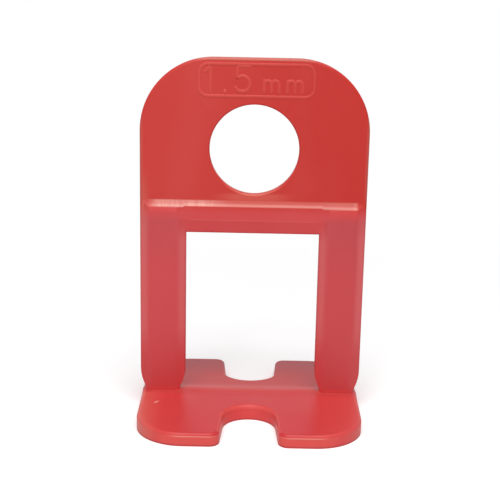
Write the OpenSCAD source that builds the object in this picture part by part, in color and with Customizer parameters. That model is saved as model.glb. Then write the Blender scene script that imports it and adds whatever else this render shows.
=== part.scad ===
// Tile levelling clip, moulded in one piece: a notched base that goes under the tiles, two legs that stand
// in the joint and snap off at their necks, a window for the wedge, and a tab with a round hole to pull on.
// The origin is at the middle of the underside, X runs across the plate and Y through its thickness.

/* [Plate] */
// Width across the plate
plate_w = 25; // [24:0.25:30]
// Thickness of the tab and of the plate's edges
tab_t = 1; // [0.8:0.05:1.2]
// Height of the tab above the shoulder
tab_h = 15.5; // [15.5:0.25:20]
// Radius of the tab's two upper corners
corner_r = 8; // [5:0.25:10]
// Rounding of the plate's edges
edge_r = 0.3; // [0.1:0.05:0.35]

/* [Hole] */
// Diameter of the round hole in the tab
hole_d = 9.8; // [6:0.1:10.5]
// Distance from the tab's top edge down to the hole's centre
hole_drop = 9.9; // [8:0.1:10.2]
// Rounding of the hole's two rims
rim_r = 0.2; // [0.05:0.05:0.3]

/* [Frame] */
// Thickness of the legs, which is the width of the joint between the tiles
leg_t = 1.5; // [1.3:0.05:3]
// Thickness of the crossbar above the window
bar_t = 1.4; // [1.25:0.05:1.5]
// Height of the crossbar, from the window to the top of the shoulder
bar_h = 3.75; // [3:0.25:6]
// Height of the bevel under the crossbar
bar_bevel = 1.5; // [0.8:0.1:1.6]
// Width of the bevels along the legs
leg_bevel = 1; // [0.6:0.05:1.5]
// Radius of the hollow curve that leads from the raised frame into the tab
cove_r = 1.6; // [1.2:0.1:3]
// Width of the window for the wedge
window_w = 14.75; // [12:0.25:17]
// Height of the window above the sill
window_h = 18.4; // [14:0.2:26]

/* [Necks] */
// Radius of the curve that draws a leg in towards its neck
neck_r = 5; // [3.5:0.25:8]
// Height of that curve above the sill
neck_h = 2.7; // [1.5:0.1:3]

/* [Base] */
// Width of the base
base_w = 24.6; // [23:0.1:30]
// Depth of the base, front to back
base_d = 23.5; // [20:0.25:30]
// Thickness of the base at its front and back edges
base_edge_t = 1.45; // [1:0.05:1.8]
// Thickness of the base along its middle
base_mid_t = 1.95; // [1.85:0.05:2.5]
// Height of the sill above the middle of the base
sill_h = 0.15; // [0.1:0.05:0.4]
// Radius of the sill's rounded top
sill_r = 4; // [1:0.25:6]
// Radius of the base's corners
base_corner_r = 5.25; // [3:0.25:7]
// Rounding of the base's upper edges
base_r = 0.4; // [0.15:0.05:0.6]

/* [Notches] */
// Radius of a notch's round end
notch_r = 2.9; // [2:0.1:4]
// Distance from the middle of the plate to the front notch's end
front_reach = 4.3; // [2.5:0.1:4.5]
// Distance from the middle of the plate to the rear notch's end
rear_reach = 3.6; // [2.5:0.1:4.5]
// Draft of a notch's sides, in degrees
notch_draft = 3.5; // [1:0.5:6]
// Radius of the corners at a notch's mouth
mouth_r = 1.15; // [0.7:0.05:1.5]

/* [Hidden] */
$fn = 96;
plastic = "firebrick";
edge_steps = 4;
overlap = 0.5;
seam = 0.06;
wall_cut = notch_r / 6;
core_gap = wall_cut / 2;
core_r = notch_r - 1.5 * core_gap;

sill_z = base_mid_t + sill_h;
window_z = sill_z + window_h;
shoulder_z = window_z + bar_h;
top_z = shoulder_z + tab_h;
neck_z = sill_z + neck_h;

half_plate = plate_w / 2;
half_window = window_w / 2;
half_tab = tab_t / 2;
half_leg = leg_t / 2;
half_bar = bar_t / 2;
corner_x = half_plate - corner_r;
corner_z = top_z - corner_r;
cove_turn = acos(1 - (half_leg - half_tab) / cove_r);
bar_length = half_plate + half_window;

half_base = base_w / 2;
base_slope = atan((base_mid_t - base_edge_t) / (base_d / 2));
base_run = round(1000 * (base_d / 2 + base_r * sin(base_slope)) / cos(base_slope)) / 1000;
base_depth = base_mid_t + overlap;
sill_length = base_w - 2.5 * base_r;
sill_turn = acos(1 - 1.5 * sill_h / sill_r);
sill_side = sill_r * sin(sill_turn);

// Direction square to a notch's side, and where the side leaves the round end, measured from that end's centre
notch_normal = [cos(notch_draft), sin(notch_draft)];
notch_turn = notch_r * notch_normal;

// The pieces of a notch's cut run a little way past each other, in degrees about the round end and the mouth's corners
end_lap = 2 * seam / notch_r * 180 / PI;
mouth_gap = seam / mouth_r * 180 / PI;

// How far forward of that centre the corners at the mouth have theirs, for a notch that ends at a reach
function mouth_s(reach) = base_run - reach - notch_r - mouth_r;

// Centre of the corner at the mouth, measured from the round end's centre
function mouth_c(reach) =
    [(notch_r + mouth_r) / cos(notch_draft) + mouth_s(reach) * tan(notch_draft), -mouth_s(reach)];

// Length of a notch's straight side
function side_length(reach) = norm(mouth_c(reach) - mouth_r * notch_normal - notch_turn);

// Points on an arc, from one angle to another
function arc(c, r, from, to) =
    [for (i = [0:edge_steps]) let (a = from + (to - from) * i / edge_steps) c + r * [cos(a), sin(a)]];

// Section of a flat plate's edge, rounded at both faces, from the line u = 0 out to a reach
module rounded_edge(reach, half, r) {
    polygon(concat(
        [[0, -half]],
        arc([reach - r, r - half], r, -90, 0),
        arc([reach - r, half - r], r, 0, 90),
        [[0, half]]));
}

// Section of the base's edge, rounded at its top, with the top on the line v = 0
module base_edge(reach) {
    polygon(concat(
        [[0, -base_depth], [reach, -base_depth]],
        arc([reach - base_r, -base_r], base_r, 0, 90),
        [[0, 0]]));
}

// Section of what a notch takes away along its wall at u = 0, opening out in a round at the top
module notch_wall(cut) {
    polygon(concat(
        [[-cut, overlap], [-cut, -2 * base_depth], [0, -2 * base_depth]],
        arc([base_r, -base_r], base_r, 180, 90),
        [[base_r, overlap]]));
}

// Turns a section drawn in u and v to stand in the plane of Y and Z, and draws it along X about the middle
module along_x(length) {
    rotate([90, 0, 90])
        linear_extrude(length, center = true)
            children();
}

// The tab: a thin plate with rounded edges and two large upper corners
module tab() {
    translate([0, 0, shoulder_z])
        rotate([0, -90, 0])
            linear_extrude(2 * corner_x, center = true)
                rounded_edge(tab_h, half_tab, edge_r);
    for (side = [0, 1])
        mirror([side, 0, 0]) {
            translate([0, 0, shoulder_z])
                linear_extrude(tab_h - corner_r)
                    translate([corner_x, 0])
                        rounded_edge(corner_r, half_tab, edge_r);
            translate([corner_x, 0, corner_z])
                rotate([90, 0, 0])
                    rotate_extrude(angle = 90)
                        rounded_edge(corner_r, half_tab, edge_r);
        }
}

// What the hole takes away: a bore that opens out in a small round at each face
module hole() {
    translate([0, 0, top_z - hole_drop])
        rotate([90, 0, 0])
            rotate_extrude()
                polygon(concat(
                    [[0, -half_tab - overlap], [hole_d / 2 + rim_r, -half_tab - overlap]],
                    arc([hole_d / 2 + rim_r, rim_r - half_tab], rim_r, 270, 180),
                    arc([hole_d / 2 + rim_r, half_tab - rim_r], rim_r, 180, 90),
                    [[hole_d / 2 + rim_r, half_tab + overlap], [0, half_tab + overlap]]));
}

// Section of a leg from above: rounded at both sides and bevelled up to its two raised faces
module leg_section() {
    polygon(concat(
        arc([half_window + edge_r, edge_r - half_tab], edge_r, 180, 270),
        [[half_window + leg_bevel, -half_leg], [half_plate - leg_bevel, -half_leg]],
        arc([half_plate - edge_r, edge_r - half_tab], edge_r, 270, 360),
        arc([half_plate - edge_r, half_tab - edge_r], edge_r, 0, 90),
        [[half_plate - leg_bevel, half_leg], [half_window + leg_bevel, half_leg]],
        arc([half_window + edge_r, half_tab - edge_r], edge_r, 90, 180)));
}

// Outline of a leg seen from the front, drawn in towards its neck by two arcs
module leg_outline() {
    translate([half_window, neck_z])
        square([half_plate - half_window, shoulder_z - neck_z]);
    intersection() {
        translate([half_window, 0])
            square([half_plate - half_window, neck_z]);
        translate([half_plate - neck_r, neck_z])
            circle(neck_r);
        translate([half_window + neck_r, neck_z])
            circle(neck_r);
    }
}

// Side view of the raised frame, with the hollow curves of the shoulder at its top
module frame_side() {
    polygon(concat(
        [[-half_leg, 0], [half_leg, 0]],
        arc([half_tab + cove_r, shoulder_z], cove_r, 180 + cove_turn, 180),
        arc([-half_tab - cove_r, shoulder_z], cove_r, 0, -cove_turn)));
}

// A leg: its section, its outline and its shoulder, all at once
module leg() {
    intersection() {
        linear_extrude(shoulder_z)
            leg_section();
        rotate([90, 0, 0])
            linear_extrude(leg_t + overlap, center = true)
                leg_outline();
        along_x(2 * plate_w)
            frame_side();
    }
}

// The crossbar: the same shoulder above, a raised face, and a bevel down to the window's rounded edge
module crossbar() {
    along_x(bar_length)
        intersection() {
            frame_side();
            polygon(concat(
                [[half_bar, shoulder_z], [-half_bar, shoulder_z], [-half_bar, window_z + bar_bevel]],
                arc([edge_r - half_tab, window_z + edge_r], edge_r, 180, 270),
                arc([half_tab - edge_r, window_z + edge_r], edge_r, 270, 360),
                [[half_bar, window_z + bar_bevel]]));
        }
}

// One half of the base, drawn level with its top at zero: rounded upper edges and two large corners
module base_half_level() {
    rotate([90, 0, -90])
        linear_extrude(2 * (half_base - base_corner_r), center = true)
            base_edge(base_run);
    for (side = [0, 1])
        mirror([side, 0, 0]) {
            translate([half_base - base_corner_r, 0, 0])
                rotate([90, 0, 0])
                    linear_extrude(base_run - base_corner_r)
                        base_edge(base_corner_r);
            translate([half_base - base_corner_r, base_corner_r - base_run, 0])
                rotate([0, 0, -90])
                    rotate_extrude(angle = 90)
                        base_edge(base_corner_r);
        }
}

// What a notch takes away inside its walls
module notch_core() {
    near_x = notch_r - core_gap;
    far_x = near_x + base_run * tan(notch_draft);
    translate([0, 0, -2 * base_depth])
        linear_extrude(3 * base_depth) {
            circle(core_r);
            polygon([[-near_x, 0], [near_x, 0], [far_x, -base_run], [-far_x, -base_run]]);
        }
}

// What a notch takes away: its inside, its round end, and its sides with the round corners at the mouth
module notch_cut(reach) {
    notch_core();
    rotate([0, 0, notch_draft - end_lap])
        rotate_extrude(angle = 180 - 2 * (notch_draft - end_lap))
            translate([notch_r, 0])
                notch_wall(wall_cut);
    for (side = [0, 1])
        mirror([side, 0, 0]) {
            translate(notch_turn)
                rotate([90, 0, notch_draft])
                    translate([0, 0, seam])
                        linear_extrude(side_length(reach) + seam)
                            notch_wall(wall_cut);
            translate(mouth_c(reach))
                rotate([0, 0, 180 + notch_draft + mouth_gap])
                    rotate_extrude(angle = 90 - notch_draft - 2 * mouth_gap)
                        translate([mouth_r, 0])
                            mirror([1, 0])
                                notch_wall(mouth_r);
        }
}

// One half of the base with its notch, still level
module base_half(reach) {
    difference() {
        base_half_level();
        translate([0, -reach - notch_r, 0])
            notch_cut(reach);
    }
}

// The base: two halves that fall away from the middle, cut flat underneath, with a notch in each
module base() {
    intersection() {
        for (side = [0, 1])
            mirror([0, side, 0])
                translate([0, 0, base_mid_t])
                    rotate([base_slope, 0, 0])
                        base_half([front_reach, rear_reach][side]);
        translate([-base_w, -base_d, 0])
            cube([2 * base_w, 2 * base_d, 2 * base_depth]);
    }
}

// The sill: the low rounded crest along the middle of the base, across its whole flat width
module sill() {
    along_x(sill_length)
        polygon(concat(
            [[-sill_side, base_mid_t / 2]],
            arc([0, sill_z - sill_r], sill_r, 90 + sill_turn, 90 - sill_turn),
            [[sill_side, base_mid_t / 2]]));
}

// The whole clip
module levelling_clip() {
    color(plastic) {
        difference() {
            tab();
            hole();
        }
        crossbar();
        for (side = [0, 1])
            mirror([side, 0, 0])
                leg();
        base();
        sill();
    }
}

levelling_clip();
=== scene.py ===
"""Looks of a moulded tile levelling clip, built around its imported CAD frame.

Everything is in the clip's own frame: the origin is the middle of the underside, X runs across the plate,
Y from the photographed front to the back, and Z up. Shapes are in metres, places of colours in millimetres.
"""

import logging
import math
from collections.abc import Callable, Iterable
from dataclasses import dataclass
from typing import Any

import bmesh
import bpy
from mathutils import Matrix, Vector

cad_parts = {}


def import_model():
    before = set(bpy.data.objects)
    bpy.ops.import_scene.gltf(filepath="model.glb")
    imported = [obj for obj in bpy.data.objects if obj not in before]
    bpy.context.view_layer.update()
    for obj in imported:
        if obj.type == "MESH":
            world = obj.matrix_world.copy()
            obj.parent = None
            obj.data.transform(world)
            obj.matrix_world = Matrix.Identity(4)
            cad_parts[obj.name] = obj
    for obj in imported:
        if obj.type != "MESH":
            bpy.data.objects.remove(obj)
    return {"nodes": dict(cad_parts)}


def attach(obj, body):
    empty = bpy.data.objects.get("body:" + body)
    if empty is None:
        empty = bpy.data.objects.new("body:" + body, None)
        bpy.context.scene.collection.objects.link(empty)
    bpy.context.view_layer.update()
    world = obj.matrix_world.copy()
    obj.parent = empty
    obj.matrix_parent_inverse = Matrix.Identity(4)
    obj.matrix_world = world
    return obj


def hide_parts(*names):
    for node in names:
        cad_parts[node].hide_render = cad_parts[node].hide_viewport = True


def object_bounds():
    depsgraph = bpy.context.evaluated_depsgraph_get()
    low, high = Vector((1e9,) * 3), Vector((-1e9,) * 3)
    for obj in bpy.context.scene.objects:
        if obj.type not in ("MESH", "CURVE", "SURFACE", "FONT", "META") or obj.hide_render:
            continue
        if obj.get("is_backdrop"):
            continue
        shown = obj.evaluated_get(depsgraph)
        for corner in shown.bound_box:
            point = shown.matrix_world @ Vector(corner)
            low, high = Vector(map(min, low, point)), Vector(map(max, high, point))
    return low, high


MM = 0.001
CLIP_NODE = "levelling_clip"
CLIP_BODY = "root"
PLASTIC_SLOT = "red_plastic"
# The base's roof in millimetres: its height in the middle and at its edges, the run between and the fall.
ROOF = 1.95
ROOF_EDGE = 1.45
ROOF_RUN = 11.75
ROOF_FALL = (ROOF - ROOF_EDGE) / ROOF_RUN
# Average of the noise that the shaders read.
NOISE_MEAN = 0.5

log = logging.getLogger("levelling_clip")

Colour = tuple[float, float, float]
Point = tuple[float, float, float]
Fade = tuple[float, float]
Band = tuple[float, float, float]

# Band of heights, in millimetres, that the sill's surface lies in.
SILL_UP: Band = (1.80, 2.12, 0.05)


class Wire:
    """The output of a shader node, written into shader maths as if it were a number."""

    def __init__(self, sheet: "NodeSheet", socket: bpy.types.NodeSocket) -> None:
        """Keeps the sheet that the maths goes on and the socket that gives the value."""
        self.sheet = sheet
        self.socket = socket

    def maths(self, operation: str, *others: Any) -> "Wire":
        """Adds a Math node with this value first."""
        return self.sheet.maths(operation, self, *others)

    def __add__(self, other: Any) -> "Wire":
        """This value plus another."""
        return self.maths("ADD", other)

    __radd__ = __add__

    def __sub__(self, other: Any) -> "Wire":
        """This value less another."""
        return self.maths("SUBTRACT", other)

    def __rsub__(self, other: Any) -> "Wire":
        """Another value less this one."""
        return self.sheet.maths("SUBTRACT", other, self)

    def __mul__(self, other: Any) -> "Wire":
        """This value times another."""
        return self.maths("MULTIPLY", other)

    __rmul__ = __mul__

    def __truediv__(self, other: Any) -> "Wire":
        """This value divided by another."""
        return self.maths("DIVIDE", other)

    def __neg__(self) -> "Wire":
        """This value with its sign turned."""
        return self.maths("MULTIPLY", -1.0)

    def step(self, low: float, high: float) -> "Wire":
        """Smooth step of this value.

        Args:
            low: Value at which the step leaves nought.
            high: Value at which the step reaches one.

        Returns:
            The step, from nought to one.
        """
        settings = {"interpolation_type": "SMOOTHSTEP"}
        ends = {"Value": self, "From Min": low, "From Max": high}
        return self.sheet.node("ShaderNodeMapRange", settings, ends)

    def fall(self, low: float, high: float) -> "Wire":
        """The step turned over: one below the low value and nought above the high one."""
        return 1 - self.step(low, high)

    def band(self, low: float, high: float, soft: float) -> "Wire":
        """Mask that is one between two values and fades to nought outside them.

        Args:
            low: Lower end of the band.
            high: Upper end of the band.
            soft: Half the width of the fade at each end.

        Returns:
            The mask.
        """
        return self.step(low - soft, low + soft) * self.fall(high - soft, high + soft)


class NodeSheet:
    """A node tree that is emptied and then filled node by node."""

    def __init__(self, tree: bpy.types.NodeTree) -> None:
        """Empties the tree."""
        tree.nodes.clear()
        self.tree = tree

    def node(
        self,
        kind: str,
        settings: dict[str, Any] | None = None,
        inputs: dict[str | int, Any] | None = None,
        output: str | int = 0,
    ) -> Wire | None:
        """Adds one node.

        Args:
            kind: Blender's type of the node.
            settings: Properties of the node, set first.
            inputs: Values or wires for its sockets, by name or number.
            output: Which of its outputs is wanted.

        Returns:
            The wanted output, or None for a node without outputs.
        """
        made = self.tree.nodes.new(kind)
        for name, value in (settings or {}).items():
            setattr(made, name, value)
        for name, value in (inputs or {}).items():
            if isinstance(value, Wire):
                self.tree.links.new(value.socket, made.inputs[name])
            else:
                made.inputs[name].default_value = value
        return Wire(self, made.outputs[output]) if len(made.outputs) else None

    def maths(self, operation: str, *values: Any) -> Wire:
        """Adds a Math node on numbers or wires."""
        return self.node("ShaderNodeMath", {"operation": operation}, dict(enumerate(values)))

    def blend(self, share: Any, first: Any, second: Any) -> Wire:
        """Mixes two colours, on the Mix node's colour sockets, which go by their numbers.

        Args:
            share: How much of the second colour is taken.
            first: Colour where the share is nought.
            second: Colour where the share is one.

        Returns:
            The mixed colour.
        """
        first, second = (c if isinstance(c, Wire) else (*c, 1.0) for c in (first, second))
        return self.node("ShaderNodeMix", {"data_type": "RGBA"}, {0: share, 6: first, 7: second}, 2)

    def noise(self, place: Wire, scale: float, detail: float, stretch: Point = (1.0, 1.0, 1.0)) -> Wire:
        """Noise in space.

        Args:
            place: Coordinates that it is read at.
            scale: Grains to the metre.
            detail: Octaves of finer noise.
            stretch: Factor on the coordinates along each axis.

        Returns:
            The noise, about one half on average.
        """
        at = {"Vector": place, "Scale": stretch}
        stretched = self.node("ShaderNodeMapping", {"vector_type": "POINT"}, at)
        return self.node("ShaderNodeTexNoise", {}, {"Vector": stretched, "Scale": scale, "Detail": detail})

    def axes(self, place: Wire) -> tuple[Wire, Wire, Wire]:
        """The three coordinates of a place, as wires."""
        split = self.node("ShaderNodeSeparateXYZ", {}, {"Vector": place})
        return tuple(Wire(self, socket) for socket in split.socket.node.outputs)


@dataclass(frozen=True)
class Coordinates:
    """Places on the clip as wires, in millimetres in the clip's frame.

    Aside is the distance from the middle plane, and depth the distance below the base's sloping roof.
    """

    x: Wire
    y: Wire
    z: Wire
    aside: Wire
    depth: Wire
    place: Wire

    @classmethod
    def on(cls, sheet: NodeSheet) -> "Coordinates":
        """Reads the Object coordinates of a sheet's material.

        Args:
            sheet: Sheet that the nodes go on.

        Returns:
            The coordinates.
        """
        place = sheet.node("ShaderNodeTexCoord", output="Object")
        x, y, z = (axis / MM for axis in sheet.axes(place))
        depth = ROOF - ROOF_FALL * y.maths("ABSOLUTE") - z
        return cls(x, y, z, x.maths("ABSOLUTE"), depth, place)

    def from_point(self, x: float, z: float) -> Wire:
        """Distance from a line through the plate's thickness."""
        across, up = self.x - x, self.z - z
        return (across * across + up * up).maths("SQRT")


@dataclass(frozen=True)
class Mark:
    """Something on the plastic's surface, or light or shade painted on it, shown as a share of another
    colour.

    The marks' places are in millimetres in the clip's frame. A pair of values is a fade, from nought at the
    first to one at the second, and three values are a band: its two ends and the softness of each.
    """

    colour: Colour

    def share(self, sheet: NodeSheet, at: Coordinates) -> Wire:
        """How much of the mark's colour shows.

        Args:
            sheet: Sheet that the nodes go on.
            at: Where it is asked for.

        Returns:
            The share, from nought to one.
        """
        raise NotImplementedError


@dataclass(frozen=True)
class FlowClouds(Mark):
    """Faint clouds where the melt flowed together."""

    colour: Colour = (0.640, 0.110, 0.110)
    scale: float = 120.0
    detail: float = 3.0
    stretch: Point = (1.0, 1.0, 0.4)
    rise: Fade = (0.45, 0.75)
    strength: float = 0.18

    def share(self, sheet: NodeSheet, at: Coordinates) -> Wire:
        """Clouds that are longer upwards than across."""
        clouds = sheet.noise(at.place, self.scale, self.detail, self.stretch)
        return self.strength * clouds.step(*self.rise)


@dataclass(frozen=True)
class BevelHighlights(Mark):
    """Painted highlights: pale stripes on the bevelled sides of the legs."""

    colour: Colour = (0.645, 0.120, 0.125)
    leg_middle: float = 9.94
    across: Band = (1.75, 2.6, 0.35)
    up: Band = (8.0, 22.0, 2.5)
    inner: Fade = (9.5, 10.4)
    inner_top: Fade = (19.2, 22.0)
    strength: float = 0.75

    def share(self, sheet: NodeSheet, at: Coordinates) -> Wire:
        """Two soft stripes of painted highlight along each leg, the inner one ending lower.

        Args:
            sheet: Sheet that the nodes go on; not used here.
            at: Where it is asked for.

        Returns:
            The share, from nought to one.
        """
        from_middle = (at.aside - self.leg_middle).maths("ABSOLUTE")
        ended = at.aside.fall(*self.inner) * at.z.step(*self.inner_top)
        return self.strength * from_middle.band(*self.across) * at.z.band(*self.up) * (1 - ended)


@dataclass(frozen=True)
class TabRimHighlights(Mark):
    """Painted highlights on the rounded rims of the tab, which make them paler than its faces."""

    colour: Colour = (0.560, 0.165, 0.125)
    top: Fade = (39.35, 39.6)
    side: Fade = (12.05, 12.4)
    low: Fade = (23.0, 26.0)
    left: Fade = (11.2, 12.4)
    left_up: Band = (20.0, 26.5, 2.0)
    top_strength: float = 0.70
    side_strength: float = 0.35
    left_strength: float = 0.32

    def share(self, sheet: NodeSheet, at: Coordinates) -> Wire:
        """Painted highlight on the top rim, fainter on the two side rims, and a wider fade of it at the left
        beside the shoulder.

        Args:
            sheet: Sheet that the nodes go on; not used here.
            at: Where it is asked for.

        Returns:
            The share, from nought to one.
        """
        sides = self.side_strength * at.aside.step(*self.side) * at.z.step(*self.low)
        left = self.left_strength * (-at.x).step(*self.left) * at.z.band(*self.left_up)
        return sides.maths("MAXIMUM", left).maths("MAXIMUM", self.top_strength * at.z.step(*self.top))


@dataclass(frozen=True)
class HoleBridgeHighlight(Mark):
    """Painted highlights on the narrow strip between the hole and the shoulder, and on the hole's lower rim.
    """

    colour: Colour = (0.760, 0.210, 0.150)
    hole_z: float = 29.85
    ring: Band = (4.92, 5.06, 0.06)
    ring_low: Fade = (25.1, 26.4)
    strip: Band = (24.2, 25.0, 0.2)
    strip_half: Fade = (1.5, 5.0)
    front: Fade = (-0.45, -0.35)
    ring_strength: float = 0.42
    strip_strength: float = 0.26

    def share(self, sheet: NodeSheet, at: Coordinates) -> Wire:
        """A soft painted light spot under the hole and a thin crescent of painted highlight on its rim.

        Args:
            sheet: Sheet that the nodes go on; not used here.
            at: Where it is asked for.

        Returns:
            The share, from nought to one.
        """
        crescent = at.from_point(0.0, self.hole_z).band(*self.ring) * at.z.fall(*self.ring_low)
        spot = at.z.band(*self.strip) * at.aside.fall(*self.strip_half)
        both = self.ring_strength * crescent + self.strip_strength * spot
        return both * at.y.fall(*self.front)


@dataclass(frozen=True)
class ShoulderHighlight(Mark):
    """The painted highlight on the front shoulder: blotchy at the left, then a line, and a cap at the right.
    """

    colour: Colour = (0.880, 0.440, 0.370)
    low: float = 23.42
    bar_rise: float = 0.12
    high: float = 24.20
    soft: float = 0.09
    line: Fade = (0.16, 0.38)
    leg_inside: Fade = (7.5, 7.8)
    left: Fade = (-6.0, -2.0)
    right: Fade = (6.0, 9.5)
    cap: Fade = (10.9, 11.3)
    left_end: Fade = (10.4, 11.9)
    right_end: Fade = (11.2, 11.7)
    front: Fade = (-0.50, -0.42)
    strength: float = 0.16
    left_strength: float = 0.30
    right_strength: float = 0.08
    cap_strength: float = 0.14
    line_strength: float = 0.28
    streak_scale: float = 2600.0
    streak_detail: float = 1.0
    streak_stretch: Point = (1.0, 0.05, 0.25)
    streak_swing: float = 1.1

    def share(self, sheet: NodeSheet, at: Coordinates) -> Wire:
        """The painted highlight, which reaches lower on the legs than on the crossbar between them.

        Args:
            sheet: Sheet that the nodes go on.
            at: Where it is asked for.

        Returns:
            The share, from nought to one.
        """
        rise = at.z - (self.low + self.bar_rise * at.aside.fall(*self.leg_inside))
        inside = rise.step(-self.soft, self.soft) * at.z.fall(self.high - self.soft, self.high + self.soft)
        across = (-at.x).fall(*self.left_end) * at.x.fall(*self.right_end)
        left = at.x.fall(*self.left)
        streaks = sheet.noise(at.place, self.streak_scale, self.streak_detail, self.streak_stretch)
        blotches = 1 + left * self.streak_swing * (streaks - NOISE_MEAN)
        right = self.right_strength * at.x.step(*self.right) + self.cap_strength * at.x.step(*self.cap)
        line = self.line_strength * rise.fall(*self.line)
        strength = self.strength + self.left_strength * left + right + line
        return inside * across * at.y.fall(*self.front) * strength * blotches


@dataclass(frozen=True)
class CrossbarEdgeHighlight(Mark):
    """A painted highlight: a thin light line along the lower edge of the crossbar's face."""

    colour: Colour = (0.640, 0.110, 0.110)
    line: Band = (21.95, 22.05, 0.05)
    ends: Fade = (6.9, 7.3)
    front: Fade = (-0.50, -0.40)
    strength: float = 0.5

    def share(self, sheet: NodeSheet, at: Coordinates) -> Wire:
        """A painted highlight line from leg to leg."""
        across = at.aside.fall(*self.ends) * at.y.fall(*self.front)
        return self.strength * at.z.band(*self.line) * across


@dataclass(frozen=True)
class SillHighlight(Mark):
    """Painted highlight on the crest of the sill, which fades out over its front and towards the legs."""

    colour: Colour = (0.600, 0.110, 0.095)
    crest: Band = (-0.45, 0.30, 0.32)
    front: Band = (-1.3, -0.35, 0.40)
    up: Band = SILL_UP
    to_legs: Fade = (3.0, 7.6)
    crest_strength: float = 0.42
    front_strength: float = 0.24
    leg_loss: float = 0.75

    def share(self, sheet: NodeSheet, at: Coordinates) -> Wire:
        """A soft stripe of painted highlight across the base, with a fainter one before it."""
        stripes = self.crest_strength * at.y.band(*self.crest) + self.front_strength * at.y.band(*self.front)
        return stripes * at.z.band(*self.up) * (1 - self.leg_loss * at.aside.step(*self.to_legs))


@dataclass(frozen=True)
class FootShade(Mark):
    """Painted shade on the sill's front, before the feet of the legs."""

    colour: Colour = (0.350, 0.040, 0.042)
    across: Fade = (5.2, 7.6)
    front: Band = (-1.5, -0.35, 0.45)
    up: Band = SILL_UP
    strength: float = 0.26

    def share(self, sheet: NodeSheet, at: Coordinates) -> Wire:
        """A soft stripe of painted shade along the front of both feet."""
        return self.strength * at.aside.step(*self.across) * at.y.band(*self.front) * at.z.band(*self.up)


@dataclass(frozen=True)
class FootGlow(Mark):
    """Painted light in the narrow corner beside each leg's foot, which lightens the shade there."""

    colour: Colour = (0.950, 0.110, 0.090)
    across: Band = (7.78, 8.3, 0.12)
    back: Band = (-0.65, 0.15, 0.25)
    up: Band = SILL_UP
    strength: float = 0.6

    def share(self, sheet: NodeSheet, at: Coordinates) -> Wire:
        """A soft patch of painted light at the inner side of both feet."""
        return self.strength * at.aside.band(*self.across) * at.y.band(*self.back) * at.z.band(*self.up)


@dataclass(frozen=True)
class BaseRimHighlight(Mark):
    """Painted highlight on the rim of the base's front half: its left side, and the walls of its rounded
    corners.
    """

    colour: Colour = (0.700, 0.150, 0.115)
    left: Fade = (9.0, 12.2)
    corner: Fade = (9.0, 11.5)
    wall: Fade = (1.20, 1.45)
    front: Fade = (-1.2, -0.2)
    top: Fade = (1.90, 1.96)
    left_strength: float = 0.42
    corner_strength: float = 0.22

    def share(self, sheet: NodeSheet, at: Coordinates) -> Wire:
        """Painted highlight fading in towards the left side, and on the walls towards both corners.

        Args:
            sheet: Sheet that the nodes go on; not used here.
            at: Where it is asked for.

        Returns:
            The share, from nought to one.
        """
        left = self.left_strength * (-at.x).step(*self.left)
        corners = self.corner_strength * at.aside.step(*self.corner) * at.z.fall(*self.wall)
        return (left + corners) * at.y.fall(*self.front) * at.z.fall(*self.top)


@dataclass(frozen=True)
class FrontEdgeHighlights(Mark):
    """Painted highlights on the base's front edge: two thin lines beside the notch, the lower one brighter.
    """

    colour: Colour = (0.900, 0.460, 0.360)
    upper: Band = (1.36, 1.435, 0.02)
    lower: Band = (1.07, 1.17, 0.04)
    across: Band = (3.7, 8.1, 0.8)
    front: Fade = (-10.6, -10.2)
    upper_strength: float = 0.10
    lower_strength: float = 0.48

    def share(self, sheet: NodeSheet, at: Coordinates) -> Wire:
        """The lines, along the upper and the lower side of the edge's rounding."""
        lines = self.upper_strength * at.z.band(*self.upper) + self.lower_strength * at.z.band(*self.lower)
        return lines * at.aside.band(*self.across) * at.y.fall(*self.front)


@dataclass(frozen=True)
class NotchRimHighlight(Mark):
    """Painted highlight on the rim of the front notch."""

    colour: Colour = (0.880, 0.160, 0.125)
    down: Band = (0.03, 0.40, 0.03)
    half: Fade = (3.5, 4.0)
    back: Band = (-10.9, -3.0, 0.2)
    strength: float = 0.30

    def share(self, sheet: NodeSheet, at: Coordinates) -> Wire:
        """A painted highlight line round the notch, where the base's top rolls into its wall."""
        inside = at.aside.fall(*self.half) * at.y.band(*self.back)
        return self.strength * at.depth.band(*self.down) * inside


@dataclass(frozen=True)
class BaseContactShade(Mark):
    """Painted shade along the lowest edge of the base, where it meets the floor."""

    colour: Colour = (0.420, 0.050, 0.050)
    up: Fade = (0.08, 0.30)
    strength: float = 0.8

    def share(self, sheet: NodeSheet, at: Coordinates) -> Wire:
        """A thin line of painted shade all round the base."""
        return self.strength * at.z.fall(*self.up)


@dataclass(frozen=True)
class Nick(Mark):
    """The small slanting nick in the top of the base."""

    colour: Colour = (0.900, 0.560, 0.500)
    middle: tuple[float, float] = (-10.4, -3.9)
    half_length: float = 0.50
    half_width: float = 0.17
    slant: float = math.radians(52)
    edge: Fade = (0.2, 1.0)
    height: Band = (1.2, 2.2, 0.1)
    strength: float = 0.5

    def share(self, sheet: NodeSheet, at: Coordinates) -> Wire:
        """A long spot, turned about the upright axis.

        Args:
            sheet: Sheet that the nodes go on; not used here.
            at: Where it is asked for.

        Returns:
            The share, from nought to one.
        """
        across, back = at.x - self.middle[0], at.y - self.middle[1]
        cos, sin = math.cos(self.slant), math.sin(self.slant)
        along = (cos * across + sin * back) / self.half_length
        beside = (sin * across - cos * back) / self.half_width
        spot = (along * along + beside * beside).fall(*self.edge)
        return self.strength * spot * at.z.band(*self.height)


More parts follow.
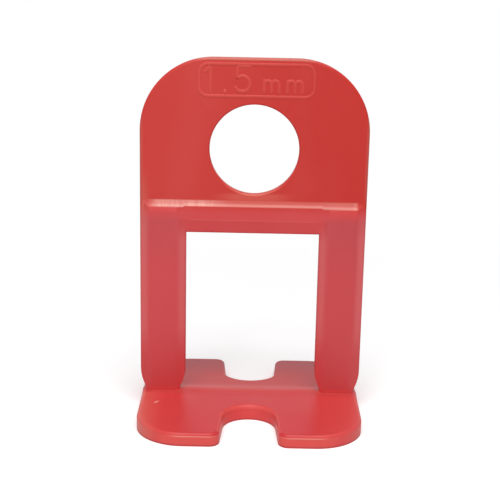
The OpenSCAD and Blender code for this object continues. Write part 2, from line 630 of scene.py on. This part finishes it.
@dataclass(frozen=True)
class RedPlastic:
    """Semi-gloss red polypropylene, milky in the thicker legs and deeper in the tab and the base.

    Its fades are in millimetres in the clip's frame. Some of its colours and most of its marks are painted
    light and shade.
    """

    name: str = PLASTIC_SLOT
    tab_colour: Colour = (0.560, 0.031, 0.023)
    # Painted shade: the tab darkens towards its right side, away from the light.
    tab_right_shade: Colour = (0.530, 0.020, 0.013)
    leg_colour: Colour = (0.590, 0.058, 0.066)
    leg_low: Colour = (0.560, 0.047, 0.051)
    # The darker leg colour: painted shade on the right leg, away from the light, and darkening towards the
    # legs' tops.
    leg_darker: Colour = (0.504, 0.055, 0.063)
    bar_colour: Colour = (0.605, 0.052, 0.055)
    base_colour: Colour = (0.635, 0.047, 0.046)
    # Painted shade: the base's rear half, behind the plate, darker still towards its rear end.
    base_rear_shade: Colour = (0.550, 0.020, 0.024)
    base_end_shade: Colour = (0.400, 0.020, 0.030)
    base_middle: Colour = (0.580, 0.020, 0.027)
    front_colour: Colour = (0.715, 0.080, 0.070)
    notch_colour: Colour = (0.695, 0.058, 0.058)
    tab_across: Fade = (-8.0, 9.0)
    tab_up: Fade = (22.5, 24.0)
    leg_up: Fade = (2.12, 2.60)
    leg_clear: Fade = (2.5, 11.0)
    leg_right: Fade = (-6.0, 12.0)
    leg_top: Fade = (15.0, 22.0)
    # Shares of the darker leg colour: painted shade towards the right, and darkening towards the tops.
    shade_right: float = 0.3
    darker_top: float = 0.7
    leg_inside: Fade = (7.4, 8.6)
    leg_crown: Fade = (21.8, 22.9)
    wall_down: Fade = (0.10, 0.50)
    notch_in: Fade = (-11.4, -10.8)
    middle_half: Fade = (5.5, 9.0)
    rear: Fade = (0.0, 2.0)
    rear_end: Fade = (4.0, 10.5)
    roughness: float = 0.40
    roughness_spread: float = 0.12
    roughness_scale: float = 120.0
    roughness_detail: float = 3.0
    specular: float = 0.34
    index: float = 1.49
    grain_scale: float = 9000.0
    grain_detail: float = 4.0
    grain_depth: float = 0.006 * MM
    # The marks: flow clouds and a nick, the rest painted highlights and painted shade.
    marks: tuple[Mark, ...] = (
        FlowClouds(),
        BevelHighlights(),
        TabRimHighlights(),
        HoleBridgeHighlight(),
        CrossbarEdgeHighlight(),
        ShoulderHighlight(),
        SillHighlight(),
        FootShade(),
        FootGlow(),
        BaseRimHighlight(),
        FrontEdgeHighlights(),
        NotchRimHighlight(),
        BaseContactShade(),
        Nick(),
    )

    def base(self, sheet: NodeSheet, at: Coordinates) -> Wire:
        """Colour of the base: its walls, its front half and its rear half, which carries painted shade.

        Args:
            sheet: Sheet that the nodes go on.
            at: Where the colour is asked for.

        Returns:
            The colour.
        """
        front = sheet.blend(at.aside.step(*self.middle_half), self.base_middle, self.base_colour)
        # Painted shade on the rear half, behind the plate, darkest towards the rear end.
        rear = sheet.blend(at.y.step(*self.rear_end), self.base_rear_shade, self.base_end_shade)
        top = sheet.blend(at.y.step(*self.rear), front, rear)
        wall = sheet.blend(at.y.step(*self.notch_in), self.front_colour, self.notch_colour)
        return sheet.blend(at.depth.step(*self.wall_down), top, wall)

    def legs(self, sheet: NodeSheet, at: Coordinates) -> Wire:
        """Colour of the legs and of the crossbar between them, with painted shade on the right leg.

        Args:
            sheet: Sheet that the nodes go on.
            at: Where the colour is asked for.

        Returns:
            The colour.
        """
        leg = sheet.blend(at.z.step(*self.leg_clear), self.leg_low, self.leg_colour)
        # Painted shade on the right leg, away from the light; the legs also darken towards their tops.
        leg_darkening = self.darker_top * at.z.step(*self.leg_top) + self.shade_right * at.x.step(*self.leg_right)
        leg = sheet.blend(leg_darkening, leg, self.leg_darker)
        milky = at.aside.step(*self.leg_inside) * at.z.fall(*self.leg_crown)
        return sheet.blend(milky, self.bar_colour, leg)

    def body_colour(self, sheet: NodeSheet, at: Coordinates) -> Wire:
        """Colour of the plastic without its marks.

        Args:
            sheet: Sheet that the nodes go on.
            at: Where the colour is asked for.

        Returns:
            The colour.
        """
        # Painted shade: the tab darkens towards its right side.
        tab = sheet.blend(at.x.step(*self.tab_across), self.tab_colour, self.tab_right_shade)
        lower = sheet.blend(at.z.step(*self.leg_up), self.base(sheet, at), self.legs(sheet, at))
        return sheet.blend(at.z.step(*self.tab_up), lower, tab)

    def material(self) -> bpy.types.Material:
        """Makes the material of the moulding.

        Returns:
            A node material that reads Object coordinates.
        """
        made = bpy.data.materials.new(self.name)
        made.use_nodes = True
        sheet = NodeSheet(made.node_tree)
        at = Coordinates.on(sheet)
        colour = self.body_colour(sheet, at)
        for mark in self.marks:
            colour = sheet.blend(mark.share(sheet, at), colour, mark.colour)
        flow = sheet.noise(at.place, self.roughness_scale, self.roughness_detail)
        grain = sheet.noise(at.place, self.grain_scale, self.grain_detail)
        relief = {"Height": grain, "Distance": self.grain_depth, "Strength": 1.0}
        bump = sheet.node("ShaderNodeBump", {}, relief)
        shader = sheet.node(
            "ShaderNodeBsdfPrincipled",
            {},
            {
                "Base Color": colour,
                "Roughness": self.roughness + self.roughness_spread * (flow - NOISE_MEAN),
                "IOR": self.index,
                "Specular IOR Level": self.specular,
                "Normal": bump,
            },
        )
        sheet.node("ShaderNodeOutputMaterial", {}, {"Surface": shader})
        return made


@dataclass(frozen=True)
class RaisedPlasticHighlight(RedPlastic):
    """The same plastic on the raised size mark, painted a little paler as a highlight on its strokes, and
    without marks of its own.
    """

    name: str = "raised_plastic_highlight"
    tab_colour: Colour = (0.610, 0.056, 0.045)
    # Painted shade towards the right, as on the clip's tab.
    tab_right_shade: Colour = (0.580, 0.042, 0.033)
    marks: tuple[Mark, ...] = ()


@dataclass
class ClipBody:
    """The moulding: a copy of the CAD solid with merged seams, softened creases and smooth roundings.

    Facing and upward are the least parts of a face's normal for which it counts as looking that way.
    """

    merge_gap: float = 0.003 * MM
    flat_within: float = math.radians(0.2)
    leg_inner: float = 7.375 * MM
    leg_outer: float = 12.5 * MM
    leg_low: float = 2.2 * MM
    leg_high: float = 23.3 * MM
    leg_half: float = 0.75 * MM
    side_half: float = 0.5 * MM
    leg_bevel: float = 1.0 * MM
    bevel_run: float = 0.7 * MM
    leg_soft: float = 0.4 * MM
    leg_steps: int = 4
    leg_cut: float = 22.7 * MM
    base_half: float = ROOF_RUN * MM
    base_mid: float = ROOF * MM
    base_edge: float = ROOF_EDGE * MM
    sill_height: float = 0.15 * MM
    sill_half: float = 11.8 * MM
    sill_weld: float = 0.08 * MM
    sill_spread: float = 1.0 * MM
    sill_reach: float = 2.4 * MM
    sill_steps: int = 12
    crest_soft: float = 0.4 * MM
    wide_face: float = 7.0 * MM * MM
    crease_from: float = math.radians(5)
    crease_to: float = math.radians(26)
    crease_hold: float = 0.02 * MM
    crease_steps: int = 2
    facing: float = 0.9
    upward: float = 0.5

    @staticmethod
    def spread(reach: float, steps: int) -> list[float]:
        """Even places from minus the reach to the reach."""
        return [reach * step / steps for step in range(-steps, steps + 1)]

    def slice_faces(
        self,
        shape: bmesh.types.BMesh,
        wanted: Callable[[bmesh.types.BMFace], bool],
        axis: Vector,
        places: Iterable[float],
    ) -> None:
        """Cuts some of the faces into strips.

        Args:
            shape: The merged solid, changed in place.
            wanted: Tells which faces are cut.
            axis: Direction across the cuts.
            places: Where the cuts lie along the axis.
        """
        for place in places:
            faces = [face for face in shape.faces if wanted(face)]
            rims = {item for face in faces for item in (*face.edges, *face.verts)}
            bmesh.ops.bisect_plane(
                shape, geom=[*faces, *rims], dist=self.merge_gap, plane_co=axis * place, plane_no=axis
            )

    def is_leg_face(self, face: bmesh.types.BMFace) -> bool:
        """Whether a face is a front or back face of a leg, or a bevel beside one.

        Args:
            face: Face that is asked about.

        Returns:
            True for such a face.
        """
        middle = face.calc_center_median()
        across = self.leg_inner < abs(middle.x) < self.leg_outer
        return across and self.leg_low < middle.z < self.leg_high and abs(face.normal.y) > self.facing

    def soften_legs(self, shape: bmesh.types.BMesh) -> None:
        """Rounds the long creases between the legs' faces and their bevels.

        Args:
            shape: The merged solid, changed in place.
        """
        fall = (self.leg_half - self.side_half) / self.bevel_run
        creases = (self.leg_inner + self.leg_bevel, self.leg_outer - self.leg_bevel)
        offsets = self.spread(self.leg_soft, self.leg_steps)
        places = [side * (crease + offset) for side in (-1, 1) for crease in creases for offset in offsets]
        self.slice_faces(shape, self.is_leg_face, Vector((1.0, 0.0, 0.0)), places)
        for vert in {vert for face in shape.faces if self.is_leg_face(face) for vert in face.verts}:
            inside = min(abs(vert.co.x) - creases[0], creases[1] - abs(vert.co.x))
            crisp = self.leg_half + fall * min(inside, 0.0)
            if abs(inside) < self.leg_soft and abs(abs(vert.co.y) - crisp) < self.merge_gap:
                soft = self.leg_half - fall * (self.leg_soft - inside) ** 2 / (4 * self.leg_soft)
                vert.co.y = math.copysign(soft, vert.co.y)

    def is_base_top(self, face: bmesh.types.BMFace) -> bool:
        """Whether a face is on the top of the base or on the upper half of its rounded rim."""
        low, high = self.base_edge - self.sill_height, self.base_mid + 2 * self.sill_height
        return face.normal.z > self.upward and low < face.calc_center_median().z < high

    def is_sill_end(self, face: bmesh.types.BMFace) -> bool:
        """Whether a face is the low end wall of the sill.

        Args:
            face: Face that is asked about.

        Returns:
            True for such a face.
        """
        middle = face.calc_center_median()
        outside = abs(abs(middle.x) - self.sill_half) < self.merge_gap
        above = middle.z > self.base_mid - self.sill_height
        return outside and above and abs(face.normal.x) > self.facing

    def swell_sill(self, shape: bmesh.types.BMesh) -> None:
        """Turns the sill's facets into one soft swell of the same height, out over the base's rim.

        Args:
            shape: The merged solid, changed in place.
        """
        fall = (self.base_mid - self.base_edge) / self.base_half
        cuts = self.spread(self.sill_reach, self.sill_steps)
        self.slice_faces(shape, self.is_base_top, Vector((0.0, 1.0, 0.0)), cuts)
        ends = [face for face in shape.faces if self.is_sill_end(face)]
        seam = list({vert for face in ends for vert in face.verts})
        bmesh.ops.delete(shape, geom=ends, context="FACES_ONLY")
        for vert in {vert for face in shape.faces if self.is_base_top(face) for vert in face.verts}:
            back = abs(vert.co.y)
            if back > self.sill_reach:
                continue
            below_roof = min(vert.co.z - self.base_mid + fall * back, 0.0)
            soft_back = back if back > self.crest_soft else (back**2 / self.crest_soft + self.crest_soft) / 2
            swell = self.sill_height * math.exp(-((back / self.sill_spread) ** 2))
            vert.co.z = self.base_mid - fall * soft_back + swell + below_roof
        bmesh.ops.remove_doubles(shape, verts=seam, dist=self.sill_weld)

    def hold_creases(self, shape: bmesh.types.BMesh) -> None:
        """Bevels the shallow creases by a hair, so that the wide faces beside them keep their own shading.

        Args:
            shape: The merged solid, changed in place.
        """
        creases = [
            edge
            for edge in shape.edges
            if self.crease_from < edge.calc_face_angle(0.0) < self.crease_to
            and all(face.calc_area() > self.wide_face for face in edge.link_faces)
        ]
        bmesh.ops.bevel(
            shape,
            geom=creases,
            offset=self.crease_hold,
            offset_type="OFFSET",
            affect="EDGES",
            segments=self.crease_steps,
            profile=0.5,
            material=-1,
            clamp_overlap=True,
        )

    def soften(self, shape: bmesh.types.BMesh) -> None:
        """Clears the flat faces of their triangles and rounds what the mould's polish has rounded.

        The legs' strips are cut short below the shoulder, so that its shading doesn't run down them.

        Args:
            shape: The merged solid, changed in place.
        """
        bmesh.ops.dissolve_limit(shape, angle_limit=self.flat_within, verts=shape.verts, edges=shape.edges)
        self.soften_legs(shape)
        self.swell_sill(shape)
        shape.normal_update()
        self.hold_creases(shape)
        shape.normal_update()
        self.slice_faces(shape, self.is_leg_face, Vector((0.0, 0.0, 1.0)), [self.leg_cut])

    def shade(self, mesh: bpy.types.Mesh) -> None:
        """Shades roundings smooth and corners sharp, without the normals that the solid's mesh carries.

        Args:
            mesh: Mesh of the moulding, changed in place.
        """
        brought = mesh.attributes.get("custom_normal")
        if brought is not None:
            mesh.attributes.remove(brought)
        mesh.shade_smooth()
        mesh.set_sharp_from_angle(angle=self.crease_to)

    def build(self, node: bpy.types.Object, finish: bpy.types.Material) -> bpy.types.Object:
        """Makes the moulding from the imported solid.

        Args:
            node: The CAD node's object, which is left as it is.
            finish: Material of the moulding.

        Returns:
            The moulding, which stands for the node.
        """
        shape = bmesh.new()
        shape.from_mesh(node.data)
        bmesh.ops.remove_doubles(shape, verts=shape.verts, dist=self.merge_gap)
        bmesh.ops.dissolve_degenerate(shape, edges=shape.edges, dist=self.merge_gap)
        self.soften(shape)
        mesh = bpy.data.meshes.new("clip_moulding")
        shape.to_mesh(mesh)
        shape.free()
        mesh.materials.clear()
        mesh.materials.append(finish)
        self.shade(mesh)
        piece = bpy.data.objects.new("clip_moulding", mesh)
        bpy.context.scene.collection.objects.link(piece)
        weights = piece.modifiers.new("flat_faces", "WEIGHTED_NORMAL")
        weights.keep_sharp = True
        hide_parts(CLIP_NODE)
        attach(piece, CLIP_BODY)
        return piece


@dataclass
class SizeMark:
    """The raised size mark at the top of the tab: a rounded frame around plain stroke figures."""

    top: float
    face: float = -0.5 * MM
    left: float = -6.28 * MM
    right: float = 6.48 * MM
    frame_top: float = 0.52 * MM
    frame_bottom: float = 4.30 * MM
    corner: float = 1.15 * MM
    line: float = 0.36 * MM
    edge: float = 0.10 * MM
    edge_steps: int = 4
    stroke: float = 0.21 * MM
    bulge: float = 0.10 * MM
    relief: float = 0.05 * MM
    sunk: float = 0.06 * MM
    baseline: float = 3.62 * MM
    cap_height: float = 2.70 * MM
    x_height: float = 1.20 * MM
    one_at: float = -4.86 * MM
    point_at: float = -3.30 * MM
    five_at: float = -2.05 * MM
    five_width: float = 1.45 * MM
    letters_at: tuple[float, float] = (0.90 * MM, 3.42 * MM)
    letter_width: float = 1.62 * MM
    round_steps: int = 12
    flag_share: float = 0.22
    bow_share: float = 0.31
    bow_start: float = math.radians(130)
    bow_sweep: float = math.radians(-280)
    point_growth: float = 1.25
    sharp_from: float = math.radians(50)

    def place(self, x: float, rise: float) -> Vector:
        """A point of the figures, from its place across the tab and its height above the baseline."""
        return Vector((x, 0.0, self.top - self.baseline + rise))

    def line_to(self, shape: bmesh.types.BMesh, start: Vector, end: Vector) -> None:
        """Draws a straight stroke with round ends.

        Args:
            shape: The figures so far, added to in place.
            start: Middle of one end.
            end: Middle of the other end.
        """
        way = end - start
        turn = way.to_track_quat("Z", "Y").to_matrix().to_4x4()
        bmesh.ops.create_cone(
            shape,
            cap_ends=True,
            segments=self.round_steps,
            radius1=self.stroke,
            radius2=self.stroke,
            depth=way.length,
            matrix=Matrix.Translation((start + end) / 2) @ turn,
        )
        for at in (start, end):
            self.dot(shape, at, self.stroke)

    def dot(self, shape: bmesh.types.BMesh, at: Vector, radius: float) -> None:
        """Sets a round dot."""
        rows = self.round_steps // 2
        bmesh.ops.create_uvsphere(
            shape, u_segments=self.round_steps, v_segments=rows, radius=radius, matrix=Matrix.Translation(at)
        )

    def bow(
        self, shape: bmesh.types.BMesh, centre: Vector, radius: float, start: float, sweep: float
    ) -> None:
        """Draws a round stroke with round ends.

        Args:
            shape: The figures so far, added to in place.
            centre: Centre of the bow.
            radius: Radius of its middle line.
            start: Angle of its first end, from the X axis towards Z.
            sweep: Angle that it runs through.
        """
        arms = [Vector((math.cos(turn), 0.0, math.sin(turn))) for turn in (start, start + sweep)]
        ring = bmesh.ops.create_circle(
            shape,
            segments=self.round_steps,
            radius=self.stroke,
            matrix=Matrix.Translation(centre + radius * arms[0]) @ Matrix.Rotation(-start, 4, "Y"),
        )
        rim = {edge for vert in ring["verts"] for edge in vert.link_edges}
        bmesh.ops.spin(
            shape,
            geom=ring["verts"] + list(rim),
            cent=centre,
            axis=(0.0, -1.0, 0.0),
            angle=sweep,
            steps=self.round_steps,
        )
        for arm in arms:
            self.dot(shape, centre + radius * arm, self.stroke)

    def draw_one(self, shape: bmesh.types.BMesh, x: float) -> None:
        """Draws the figure 1 with its upright at a place across the tab.

        Args:
            shape: The figures so far, added to in place.
            x: Place of the upright.
        """
        flag = self.flag_share * self.cap_height
        top = self.place(x, self.cap_height)
        self.line_to(shape, self.place(x, 0.0), top)
        self.line_to(shape, top, self.place(x - flag, self.cap_height - flag))

    def draw_five(self, shape: bmesh.types.BMesh, x: float, width: float) -> None:
        """Draws the figure 5.

        Args:
            shape: The figures so far, added to in place.
            x: Its left side.
            width: Its width.
        """
        radius = self.bow_share * self.cap_height
        centre = self.place(x + width - radius, radius)
        heel = centre + radius * Vector((math.cos(self.bow_start), 0.0, math.sin(self.bow_start)))
        corner = self.place(heel.x, self.cap_height)
        self.line_to(shape, corner, self.place(x + width, self.cap_height))
        self.line_to(shape, heel, corner)
        self.bow(shape, centre, radius, self.bow_start, self.bow_sweep)

    def draw_m(self, shape: bmesh.types.BMesh, x: float, width: float) -> None:
        """Draws the letter m.

        Args:
            shape: The figures so far, added to in place.
            x: Its left upright.
            width: Distance from its left upright to its right one.
        """
        radius = width / 4
        spring = self.x_height - radius
        self.line_to(shape, self.place(x, 0.0), self.place(x, self.x_height))
        for middle in (x + radius, x + 3 * radius):
            self.bow(shape, self.place(middle, spring), radius, math.pi, -math.pi)
            self.line_to(shape, self.place(middle + radius, 0.0), self.place(middle + radius, spring))

    def draw_frame(self, shape: bmesh.types.BMesh) -> None:
        """Draws the rounded frame as a flat ring and raises it from the tab's face.

        Args:
            shape: An empty shape, filled in place.
        """
        low, high = self.top - self.frame_bottom, self.top - self.frame_top
        middle = Vector(((self.left + self.right) / 2, self.face + self.sunk, (low + high) / 2))
        size = Matrix.Diagonal((self.right - self.left, high - low, 1.0, 1.0))
        upright = Matrix.Translation(middle) @ Matrix.Rotation(math.pi / 2, 4, "X") @ size
        plate = bmesh.ops.create_grid(shape, x_segments=1, y_segments=1, size=0.5, matrix=upright)
        bmesh.ops.bevel(
            shape,
            geom=plate["verts"],
            offset=self.corner,
            offset_type="OFFSET",
            affect="VERTICES",
            segments=self.round_steps // 2,
            profile=0.5,
            material=-1,
        )
        panel = shape.faces[:]
        ring = bmesh.ops.inset_region(
            shape, faces=panel, thickness=self.line, use_boundary=True, use_even_offset=True
        )
        bmesh.ops.delete(shape, geom=panel, context="FACES")
        raised = bmesh.ops.extrude_face_region(shape, geom=ring["faces"])
        lifted = [item for item in raised["geom"] if isinstance(item, bmesh.types.BMVert)]
        bmesh.ops.translate(shape, verts=lifted, vec=(0.0, -self.relief - self.sunk, 0.0))
        tops = {face for face in raised["geom"] if isinstance(face, bmesh.types.BMFace)}
        rims = [edge for edge in shape.edges if len(tops.intersection(edge.link_faces)) == 1]
        bmesh.ops.bevel(
            shape,
            geom=rims,
            offset=self.edge,
            offset_type="OFFSET",
            affect="EDGES",
            segments=self.edge_steps,
            profile=0.5,
            material=-1,
        )

    def draw_figures(self, shape: bmesh.types.BMesh) -> None:
        """Draws the figures, presses them flat and sets them half into the tab's face.

        Args:
            shape: An empty shape, filled in place.
        """
        self.draw_one(shape, self.one_at)
        self.dot(shape, self.place(self.point_at, 0.0), self.point_growth * self.stroke)
        self.draw_five(shape, self.five_at, self.five_width)
        for letter_at in self.letters_at:
            self.draw_m(shape, letter_at, self.letter_width)
        bmesh.ops.scale(shape, verts=shape.verts, vec=(1.0, self.bulge / self.stroke, 1.0))
        bmesh.ops.translate(shape, verts=shape.verts, vec=(0.0, self.face + self.bulge - self.relief, 0.0))

    def build_piece(
        self, name: str, shape: bmesh.types.BMesh, finish: bpy.types.Material
    ) -> bpy.types.Object:
        """Makes a piece of the mark that rides on the clip.

        Args:
            name: Name of the piece.
            shape: Its shape, which is used up.
            finish: Its material.

        Returns:
            The piece.
        """
        mesh = bpy.data.meshes.new(name)
        bmesh.ops.recalc_face_normals(shape, faces=shape.faces)
        shape.to_mesh(mesh)
        shape.free()
        mesh.materials.append(finish)
        mesh.shade_smooth()
        mesh.set_sharp_from_angle(angle=self.sharp_from)
        piece = bpy.data.objects.new(name, mesh)
        bpy.context.scene.collection.objects.link(piece)
        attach(piece, CLIP_BODY)
        return piece

    def build(self, finish: bpy.types.Material) -> list[bpy.types.Object]:
        """Builds the frame and the figures.

        Args:
            finish: Material of both.

        Returns:
            The two pieces.
        """
        frame_shape, figure_shape = bmesh.new(), bmesh.new()
        self.draw_frame(frame_shape)
        self.draw_figures(figure_shape)
        return [
            self.build_piece("mark_frame", frame_shape, finish),
            self.build_piece("mark_figures", figure_shape, finish),
        ]


@dataclass(frozen=True)
class Softbox:
    """A flat soft lamp that looks at the clip, at angles in degrees and sizes in metres."""

    name: str
    azimuth: float
    elevation: float
    distance: float
    width: float
    height: float
    brightness: float

    def build(self, target: Vector) -> None:
        """Hangs the lamp.

        Args:
            target: Point that the lamp looks at.
        """
        lamp = bpy.data.lights.new(self.name, "AREA")
        lamp.shape = "RECTANGLE"
        lamp.size = self.width
        lamp.size_y = self.height
        lamp.energy = self.brightness * math.pi * self.width * self.height
        turn, rise = math.radians(self.azimuth), math.radians(self.elevation)
        away = Vector((math.sin(turn) * math.cos(rise), -math.cos(turn) * math.cos(rise), math.sin(rise)))
        holder = bpy.data.objects.new(self.name, lamp)
        holder.location = target + away * self.distance
        holder.rotation_euler = away.to_track_quat("Z", "Y").to_euler()
        holder.visible_camera = False
        bpy.context.scene.collection.objects.link(holder)


@dataclass
class Studio:
    """The plain surroundings: floor, white background, soft lamps and the camera."""

    target: Vector
    ambient: float = 0.30
    floor_reach: float = 3.0
    floor_colour: Colour = (0.86, 0.86, 0.86)
    floor_lift: float = 0.30
    floor_near: float = 40.0 * MM
    floor_far: float = 90.0 * MM
    focal: float = 1080.0
    frame_px: float = 500.0
    sensor: float = 36.0
    camera_at: Point = (-0.262 * MM, -117.0 * MM, 47.7 * MM)
    camera_tilt: float = math.radians(14.0)
    camera_roll: float = math.radians(1.15)
    lamps: tuple[Softbox, ...] = (
        Softbox(
            "front_softbox",
            azimuth=-6.0,
            elevation=22.0,
            distance=0.34,
            width=0.22,
            height=0.26,
            brightness=1.6,
        ),
        Softbox(
            "top_softbox",
            azimuth=4.0,
            elevation=68.0,
            distance=0.32,
            width=0.26,
            height=0.22,
            brightness=4.4,
        ),
    )

    def build_floor(self) -> None:
        """Lays the pale floor, which is marked as stage."""
        shape = bmesh.new()
        bmesh.ops.create_grid(shape, x_segments=1, y_segments=1, size=self.floor_reach)
        mesh = bpy.data.meshes.new("floor")
        shape.to_mesh(mesh)
        shape.free()
        made = bpy.data.materials.new("pale_floor")
        made.use_nodes = True
        sheet = NodeSheet(made.node_tree)
        seen = sheet.node("ShaderNodeLightPath", output="Is Camera Ray")
        place = sheet.node("ShaderNodeTexCoord", output="Object")
        distance = sheet.node("ShaderNodeVectorMath", {"operation": "LENGTH"}, {0: place}, "Value")
        matt = sheet.node("ShaderNodeBsdfDiffuse", {}, {"Color": (*self.floor_colour, 1.0)})
        lift = sheet.node("ShaderNodeEmission", {}, {"Strength": seen * self.floor_lift})
        near = sheet.node("ShaderNodeAddShader", {}, {0: matt, 1: lift})
        white = sheet.node("ShaderNodeEmission", {}, {"Strength": 1.0})
        far = seen * distance.step(self.floor_near, self.floor_far)
        whole = sheet.node("ShaderNodeMixShader", {}, {0: far, 1: near, 2: white})
        sheet.node("ShaderNodeOutputMaterial", {}, {"Surface": whole})
        mesh.materials.append(made)
        floor = bpy.data.objects.new("floor", mesh)
        bpy.context.scene.collection.objects.link(floor)
        floor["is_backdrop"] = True

    def build_background(self) -> None:
        """Makes the world white to the eye and in reflections, and dim as a source of light."""
        world = bpy.data.worlds.new("white_background")
        world.use_nodes = True
        sheet = NodeSheet(world.node_tree)
        path = sheet.node("ShaderNodeLightPath", output="Is Camera Ray").socket.node
        rays = ("Is Camera Ray", "Is Glossy Ray", "Is Transmission Ray")
        eye, gloss, through = (Wire(sheet, path.outputs[ray]) for ray in rays)
        seen = eye.maths("MAXIMUM", gloss).maths("MAXIMUM", through)
        strength = self.ambient + (1 - self.ambient) * seen
        light = sheet.node("ShaderNodeBackground", {}, {"Color": (1.0, 1.0, 1.0, 1.0), "Strength": strength})
        sheet.node("ShaderNodeOutputWorld", {}, {"Surface": light})
        bpy.context.scene.world = world

    def build_camera(self) -> None:
        """Sets the camera where the photograph was taken from."""
        lens = bpy.data.cameras.new("camera")
        lens.sensor_width = self.sensor
        lens.lens = self.focal / self.frame_px * self.sensor
        lens.clip_start = MM
        holder = bpy.data.objects.new("camera", lens)
        upright = math.pi / 2 - self.camera_tilt
        holder.matrix_world = (
            Matrix.Translation(self.camera_at)
            @ Matrix.Rotation(upright, 4, "X")
            @ Matrix.Rotation(self.camera_roll, 4, "Z")
        )
        bpy.context.scene.collection.objects.link(holder)
        bpy.context.scene.camera = holder

    def build(self) -> None:
        """Builds the whole studio."""
        self.build_floor()
        self.build_background()
        self.build_camera()
        for lamp in self.lamps:
            lamp.build(self.target)
        bpy.context.scene.view_settings.view_transform = "Standard"


def main() -> None:
    """Loads the frame, measures its box, dresses the clip and sets the studio up."""
    logging.basicConfig(level=logging.INFO, format="%(name)s: %(message)s")
    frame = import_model()
    cad_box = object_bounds()
    moulding = ClipBody().build(frame["nodes"][CLIP_NODE], RedPlastic().material())
    mark = SizeMark(top=cad_box[1].z).build(RaisedPlasticHighlight().material())
    for piece in (moulding, *mark):
        log.info("%s: %d faces", piece.name, len(piece.data.polygons))
    Studio(target=(cad_box[0] + cad_box[1]) / 2).build()


if __name__ == "__main__":
    main()
